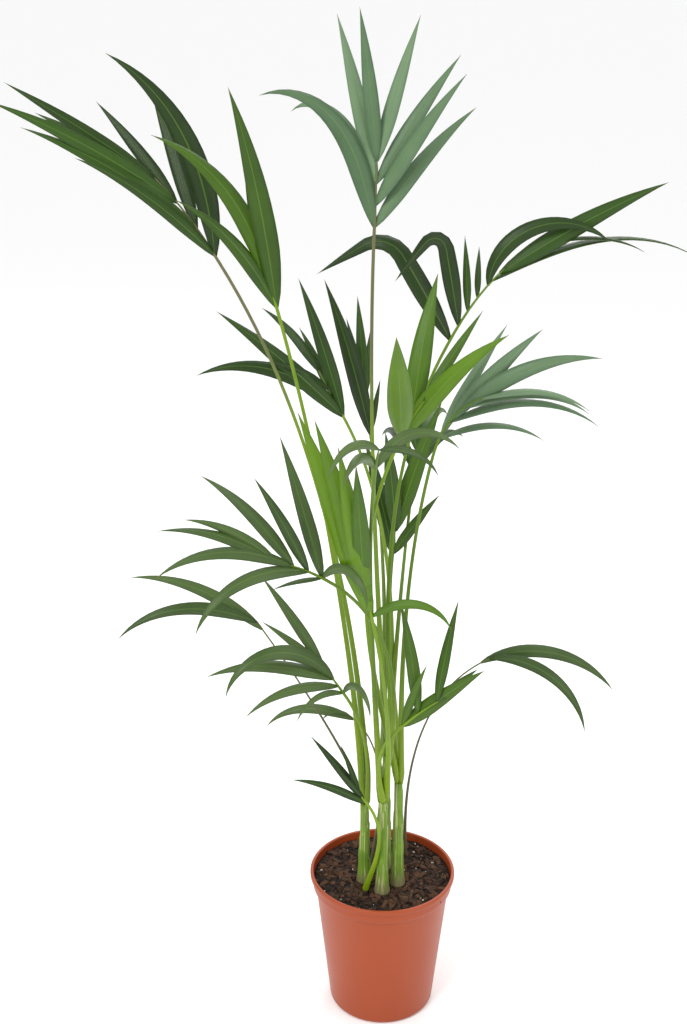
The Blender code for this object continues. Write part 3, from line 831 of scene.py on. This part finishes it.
for name, spec in STEMS.items():
    foot = Vector((*spec["place"], SOIL_LEVEL + GAP))
    line = [foot + Vector((0, 0, spec["height"] * step / STEM_RINGS)) for step in range(STEM_RINGS + 1)]
    mesh = bar(line, wrapped(math.radians(spec["first"])), STEM_SIDES)
    add_piece(f"stem_sheath_{name}", mesh, [sheath], [f"stem_{name}"])
print("stems:", ", ".join(STEMS))

# %% [markdown]
# ## The stalks
# Each frond hangs on one long stalk, thick and channelled at its foot, thin at its throat, and the rib
# of the frond is the same limb carried on. One bar runs through both, so nothing shows where they meet.

# %% Bend the stalks
STALK_RINGS = 40
STALK_SIDES = 12
RIB_RINGS = 10
CHANNEL = 0.22
FOOT_SWELL = 0.75
SWELL_FROM = 0.06
SWELL_TO = 0.6
THIN = 0.55
THIN_STALKS = ("right_arch", "left_low", "low_back")
OLD_STALKS = ("crown", "left_high", "back_left")
YOUNG_STALKS = ("foot_left", "right_low", "left_tall", "right_mid", "spear")


def stalk_feet():
    """Where each stalk starts: in the ring on its stem, or on the soil."""
    rooted = {name: spec["foot"] for name, spec in FRONDS.items() if "foot" in spec}
    feet = {name: Vector((*place, SOIL_LEVEL + GAP)) for name, place in rooted.items()}
    for stem in STEMS.values():
        share = 2 * math.pi / len(stem["bears"])
        ring = STALK_FOOT_RADIUS * STALK_SPACING / math.sin(share / 2)
        middle = Vector((*stem["place"], SOIL_LEVEL + stem["height"] + 2 * GAP))
        for index, name in enumerate(stem["bears"]):
            turn = math.radians(stem["first"]) + share * index
            feet[name] = middle + Vector((math.cos(turn), math.sin(turn), 0)) * ring
    return feet


def frond_rib(spec, steps):
    """Points along a frond's rib, from its throat."""
    lean, swing, length, droop = spec["rib"]
    return arc(spec["throat"], lean, swing, length, droop, 0, DROOP_POWER, steps)


def stalk_line(spec, foot):
    """Points up a stalk, and on along the rib of its frond."""
    grow = heading(*spec["rib"][:2])
    tip = Vector(spec["throat"])
    reach = (tip - foot).length
    rise = Vector((0, 0, reach * STALK_FOOT_PULL))
    approach = grow * reach * STALK_TIP_PULL
    line = geometry.interpolate_bezier(foot, foot + rise, tip - approach, tip, STALK_RINGS + 1)
    return line + frond_rib(spec, RIB_RINGS)[1:]


def stalk_radius(part, turn):
    """The radius of a stalk with a channel in front, which swells low down and thins to its rib's tip."""
    throat = STALK_RINGS / (STALK_RINGS + RIB_RINGS)
    if part < throat:
        swell = FOOT_SWELL * min(part / SWELL_FROM, 1) * max(1 - part / SWELL_TO, 0)
        reach = graded((STALK_FOOT_RADIUS, STALK_TIP_RADIUS), part / throat) * (1 + swell)
    else:
        reach = graded((STALK_TIP_RADIUS, RIB_TIP_RADIUS * 0.5), (part - throat) / (1 - throat))
    return reach * (1 - CHANNEL * max(math.cos(turn - math.pi / 2), 0) ** 4)


def stalk_skin(name):
    """Whether a stalk is fresh, full grown, old or dry."""
    if name in THIN_STALKS:
        return dry_stalk
    if name in OLD_STALKS:
        return old_stalk
    return young_stalk if name in YOUNG_STALKS else green_stalk


feet = stalk_feet()
for name, spec in FRONDS.items():
    slim = THIN if name in THIN_STALKS else 1
    mesh = bar(stalk_line(spec, feet[name]), lambda part, turn: slim * stalk_radius(part, turn), STALK_SIDES)
    add_piece(f"stalk_grooved_{name}", mesh, [stalk_skin(name)], [f"stalk_{name}"])
print("stalks:", len(feet))

# %% [markdown]
# ## The fronds
# A leaflet is a long pleated blade: folded up along its midrib, a little twisted, narrow at its root
# and drawn out to a fine tip. A flat grid is laid along the leaflet's arc, and Solidify gives it the
# thickness of a leaf, with the paler underside as its second material.

# %% Lay out the leaflets
FROND_HUES = {
    "crown": "grey", "left_high": "deep", "left_tall": "mid", "right_high": "deep", "right_mid": "fresh",
    "right_grey": "grey", "middle": "mid", "spear": "fresh", "back_left": "deep", "left_mid": "dusk",
    "left_low": "dusk", "low_left": "dusk", "low_back": "dusk", "foot_left": "deep", "right_low": "mid",
    "right_arch": "dusk", "front": "dusk", "back_centre": "deep", "back_right": "deep",
}
ACROSS = 4
RINGS = 14
BEND_PER_RING = 16
LEAF_SKIN = 0.0007
PLEAT = 0.16
TWIST = 16
ROOT_PART = 0.06
ROOT_NARROWING = 0.55
TIP_PART = 0.05
TIP_NARROWING = 0.1


def leaf_half_width(part):
    """The outline of the solids' leaflets, with a finer root and tip."""
    root = ROOT_NARROWING + (1 - ROOT_NARROWING) * min(part / ROOT_PART, 1)
    tip = TIP_NARROWING + (1 - TIP_NARROWING) * min((1 - part) / TIP_PART, 1)
    return leaf_width(part) * root * tip / 2


def lay_leaflet(mesh, layers, row, root, part, lean):
    """Lay one leaflet of a row on its arc: a grid, across and along, with its UV map and its shade."""
    shade, chart = layers
    length = graded(row["length"], part)
    droop = graded(row["droop"], part)
    fold = graded(row["fold"], part)
    swing = graded(row["swing"], part)
    rings = RINGS + round((droop + fold) / BEND_PER_RING)
    line = arc(root, lean, swing, length, droop, fold, graded(row["sag"], part), rings)
    facing = math.radians(graded(row["face"], part))
    front = Vector((0, -math.cos(facing), math.sin(facing)))
    width = graded(row["slim"], part) * length
    tone = dice.random()
    twist = math.radians(dice.uniform(-TWIST, TWIST))
    verts = bmesh.ops.create_grid(mesh, x_segments=ACROSS, y_segments=rings, size=1)["verts"]
    on_grid = {vert: (vert.co.x, (vert.co.y + 1) / 2) for vert in verts}
    for face in {face for vert in verts for face in vert.link_faces}:
        for loop in face.loops:
            across, along = on_grid[loop.vert]
            loop[chart].uv = ((across + 1) / 2, along)
    for vert, (across, along) in on_grid.items():
        ring = round(along * rings)
        ahead = (line[min(ring + 1, rings)] - line[max(ring - 1, 0)]).normalized()
        side = front.cross(ahead).normalized()
        ridge = ahead.cross(side)
        turn = twist * along
        tilted = side * math.cos(turn) + ridge * math.sin(turn)
        raised = ridge * math.cos(turn) - side * math.sin(turn)
        half = width * leaf_half_width(along)
        vert.co = line[ring] - tilted * (across * half) + raised * (half * PLEAT * 2 * (1 - abs(across)))
        vert[shade] = tone


def frond_mesh(spec):
    """Every leaflet of a frond, in one mesh."""
    mesh = bmesh.new()
    layers = (mesh.verts.layers.float.new("shade"), mesh.loops.layers.uv.new("leaf"))
    rib = frond_rib(spec, RIB_STEPS)
    for row in spec["fans"]:
        for index, lean in enumerate(row["lean"]):
            part = index / max(len(row["lean"]) - 1, 1)
            lay_leaflet(mesh, layers, row, graded(rib, graded(row["along"], part)), part, lean)
    return mesh


print("leaflets to lay:", sum(len(row["lean"]) for spec in FRONDS.values() for row in spec["fans"]))

# %% [markdown]
# ## Growing the crown
# One piece for each frond keeps the crown easy to pick apart. A hue for each frond stands for its age
# and for the light on it: deep green above, grey green where leaves hang, yellow green on young ones.

# %% Grow the fronds
for name, spec in FRONDS.items():
    frond = add_piece(f"leaflets_{name}", frond_mesh(spec), leaf_faces[FROND_HUES[name]],
                      [f"frond_{name}"])
    thickness = frond.modifiers.new("thickness", "SOLIDIFY")
    thickness.thickness = LEAF_SKIN
    thickness.offset = -1
    thickness.material_offset = 1
    thickness.material_offset_rim = 1
print("fronds grown:", len(FRONDS))

# %% [markdown]
# ## Floor, light and camera
# The plant stands on a plain pale floor under soft light, as in a studio. The camera looks slightly
# down on it from the height of a standing viewer, where the photograph was taken from.

# %% Set the studio
FLOOR_SIZE = 240
FLOOR_WHITE = 0.95
EYE = (0, -1.8, 1.465)
LOOK_DOWN = 21.0
LOOK_LEFT = 1.8
LENS = 51.2

mesh = bmesh.new()
bmesh.ops.create_grid(mesh, x_segments=1, y_segments=1, size=FLOOR_SIZE / 2)
data = bpy.data.meshes.new("floor")
mesh.to_mesh(data)
mesh.free()
floor = bpy.data.objects.new("floor", data)
pale, _, shader = finish_of("pale_floor", 0.9)
shader["Base Color"].default_value = (FLOOR_WHITE, FLOOR_WHITE, FLOOR_WHITE, 1)
data.materials.append(pale)
bpy.context.scene.collection.objects.link(floor)


def softbox(name, place, aim, size, power):
    """A round soft lamp at a place, turned to a point."""
    lamp = bpy.data.lights.new(name, "AREA")
    lamp.shape = "DISK"
    lamp.size = size
    lamp.energy = power
    box = bpy.data.objects.new(name, lamp)
    box.location = place
    box.rotation_euler = (Vector(aim) - Vector(place)).to_track_quat("-Z", "Y").to_euler()
    bpy.context.scene.collection.objects.link(box)


softbox("key", (-1.6, -2.4, 3.0), (0, 0, 0.8), 1.4, 70)
softbox("fill", (2.6, -1.6, 1.9), (0, 0, 0.7), 2.2, 22)
softbox("back", (0.6, 2.4, 2.8), (0, 0, 0.9), 1.8, 34)

world = bpy.data.worlds.new("pale_room")
world.use_nodes = True
world.node_tree.nodes["Background"].inputs["Color"].default_value = (1, 1, 1, 1)
world.node_tree.nodes["Background"].inputs["Strength"].default_value = 1.0
bpy.context.scene.world = world
bpy.context.scene.view_settings.view_transform = "Standard"

view = bpy.data.cameras.new("eye")
view.lens = LENS
camera = bpy.data.objects.new("eye", view)
camera.location = EYE
camera.rotation_euler = (math.radians(90 - LOOK_DOWN), 0, math.radians(LOOK_LEFT))
bpy.context.scene.collection.objects.link(camera)
bpy.context.scene.camera = camera
print("camera at", EYE)
